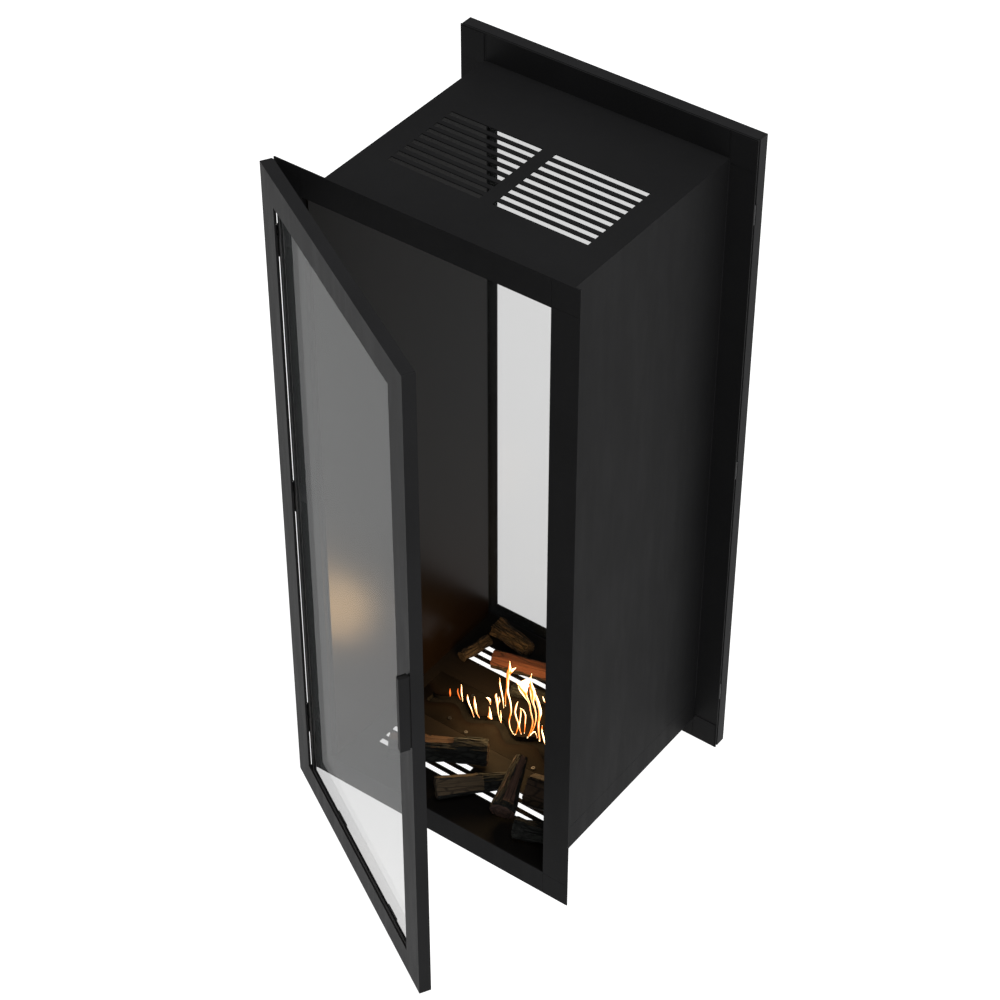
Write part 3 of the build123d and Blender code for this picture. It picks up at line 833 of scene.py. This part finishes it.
class FIREPLACE_OT_build_logs(bpy.types.Operator):
    """Build the nine cast logs"""

    bl_idname = "fireplace.build_logs"
    bl_label = "Build Logs"

    def execute(self, context):
        look = context.scene.fireplace_finishes
        brown = cast_bark("bark_brown", look.bark, (0.045, 0.034, 0.022))
        black = cast_bark("bark_charred", look.char, (0.022, 0.023, 0.022))
        woods = {
            "log_rear_bark": cast_wood("wood_old", (0.03, 0.02, 0.011), (0.008, 0.005, 0.003)),
            "log_rear_split": cast_wood("wood_red", (0.06, 0.019, 0.009), (0.016, 0.005, 0.003)),
            "log_front_left": cast_wood("wood_orange", (0.045, 0.022, 0.011),
                                        (0.012, 0.006, 0.004)),
            "log_front_split": cast_wood("wood_light", (0.05, 0.035, 0.02), (0.02, 0.013, 0.007)),
            "log_leaning": cast_wood("wood_pink", (0.05, 0.027, 0.02), (0.008, 0.005, 0.004)),
            "log_right_split": cast_wood("wood_brown", (0.03, 0.018, 0.01), (0.01, 0.006, 0.004)),
        }
        charred = ("log_front_left", "log_front_split", "log_right_bark", "log_leaning",
                   "log_rear_low")
        for name, log in LOGS.items():
            bark = black if name in charred else brown
            wood = woods.get(name, woods["log_rear_bark"])
            piece = log.build(f"cast_{name}", bark, wood)
            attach(piece, "carcass")
            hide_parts(name)
        return {"FINISHED"}


class FIREPLACE_OT_build_flames(bpy.types.Operator):
    """Build the flames that stand in the wavy slot, and the light that they give"""

    bl_idname = "fireplace.build_flames"
    bl_label = "Build Flames"

    def execute(self, context):
        strength = context.scene.fireplace_finishes.flame_strength
        bright = burning_gas("flame", (1.0, 0.8, 0.4), (0.09, 0.02, 0.002), strength)
        weak = burning_gas("flame_low", (0.3, 0.09, 0.02), (0.11, 0.02, 0.003), strength * 0.55)
        for name, tongues, material in (("flames", FLAMES, bright),
                                        ("low_flames", LOW_FLAMES, weak)):
            bm = bmesh.new()
            layer = bm.loops.layers.uv.new("along")
            for tongue in tongues:
                tongue.build(bm, layer)
            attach(join_to_scene(name, bm, (material,)), "carcass")
        fire = bpy.data.lights.new("fire", "POINT")
        fire.energy = context.scene.fireplace_finishes.fire_light
        fire.color = FIRE_COLOUR
        fire.shadow_soft_size = FIRE_SIZE
        lamp = bpy.data.objects.new("fire", fire)
        lamp.location = FIRE_PLACE
        lamp.visible_camera = False
        context.scene.collection.objects.link(lamp)
        # the panes don't mirror the lamp itself
        panes = bpy.data.collections.new("panes")
        for name in both("door_glass"):
            panes.objects.link(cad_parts[name])
        for entry in panes.collection_objects:
            entry.light_linking.link_state = "EXCLUDE"
        lamp.light_linking.receiver_collection = panes
        return {"FINISHED"}


class FIREPLACE_OT_build_stage(bpy.types.Operator):
    """Lay the pale floor and set the soft studio light"""

    bl_idname = "fireplace.build_stage"
    bl_label = "Build Stage"

    def execute(self, context):
        scene = context.scene
        studio = scene.fireplace_studio
        bm = bmesh.new()
        bmesh.ops.create_grid(bm, x_segments=8, y_segments=8, size=studio.floor_size / 2)
        bmesh.ops.translate(bm, verts=bm.verts, vec=(0, 0, -FLOOR_DROP))
        finish = pale_floor("studio_floor", FLOOR_COLOUR, studio.floor_glow)
        floor = join_to_scene("studio_floor", bm, (finish,), False)
        world = bpy.data.worlds.new("studio")
        world.use_nodes = True
        world.node_tree.nodes["Background"].inputs["Color"].default_value = (1, 1, 1, 1)
        world.node_tree.nodes["Background"].inputs["Strength"].default_value = studio.sky
        scene.world = world
        light = bpy.data.lights.new("softbox", "AREA")
        light.shape = "RECTANGLE"
        light.size, light.size_y = 3.0, 2.2
        light.energy = studio.key
        softbox = bpy.data.objects.new("softbox", light)
        place = Vector(SOFTBOX_PLACE)
        aim = (Vector(SOFTBOX_AIM) - place).to_track_quat("-Z", "Y").to_matrix().to_4x4()
        softbox.matrix_world = Matrix.Translation(place) @ aim
        scene.collection.objects.link(softbox)
        scene.view_settings.view_transform = "Standard"
        return {"FINISHED"}


class FIREPLACE_PT_panel(bpy.types.Panel):
    """Everything that makes the fireplace, in order"""

    bl_label = "Fireplace"
    bl_space_type = "VIEW_3D"
    bl_region_type = "UI"
    bl_category = "Fireplace"

    def draw(self, context):
        layout = self.layout
        for group in (context.scene.fireplace_finishes, context.scene.fireplace_studio):
            box = layout.box()
            for name in group.bl_rna.properties.keys():
                if name not in ("rna_type", "name"):
                    box.prop(group, name)
        for operator in OPERATORS:
            layout.operator(operator.bl_idname)


OPERATORS = (
    FIREPLACE_OT_set_camera,
    FIREPLACE_OT_finish_carcass,
    FIREPLACE_OT_finish_doors,
    FIREPLACE_OT_finish_burner,
    FIREPLACE_OT_build_logs,
    FIREPLACE_OT_build_flames,
    FIREPLACE_OT_build_stage,
)
CLASSES = (FireplaceFinishes, FireplaceStudio, *OPERATORS, FIREPLACE_PT_panel)


def register():
    for cls in CLASSES:
        bpy.utils.register_class(cls)
    bpy.types.Scene.fireplace_finishes = bpy.props.PointerProperty(type=FireplaceFinishes)
    bpy.types.Scene.fireplace_studio = bpy.props.PointerProperty(type=FireplaceStudio)


def unregister():
    del bpy.types.Scene.fireplace_studio
    del bpy.types.Scene.fireplace_finishes
    for cls in reversed(CLASSES):
        bpy.utils.unregister_class(cls)


def main():
    register()
    for operator in OPERATORS:
        group, name = operator.bl_idname.split(".")
        getattr(getattr(bpy.ops, group), name)()


if __name__ == "__main__":
    main()
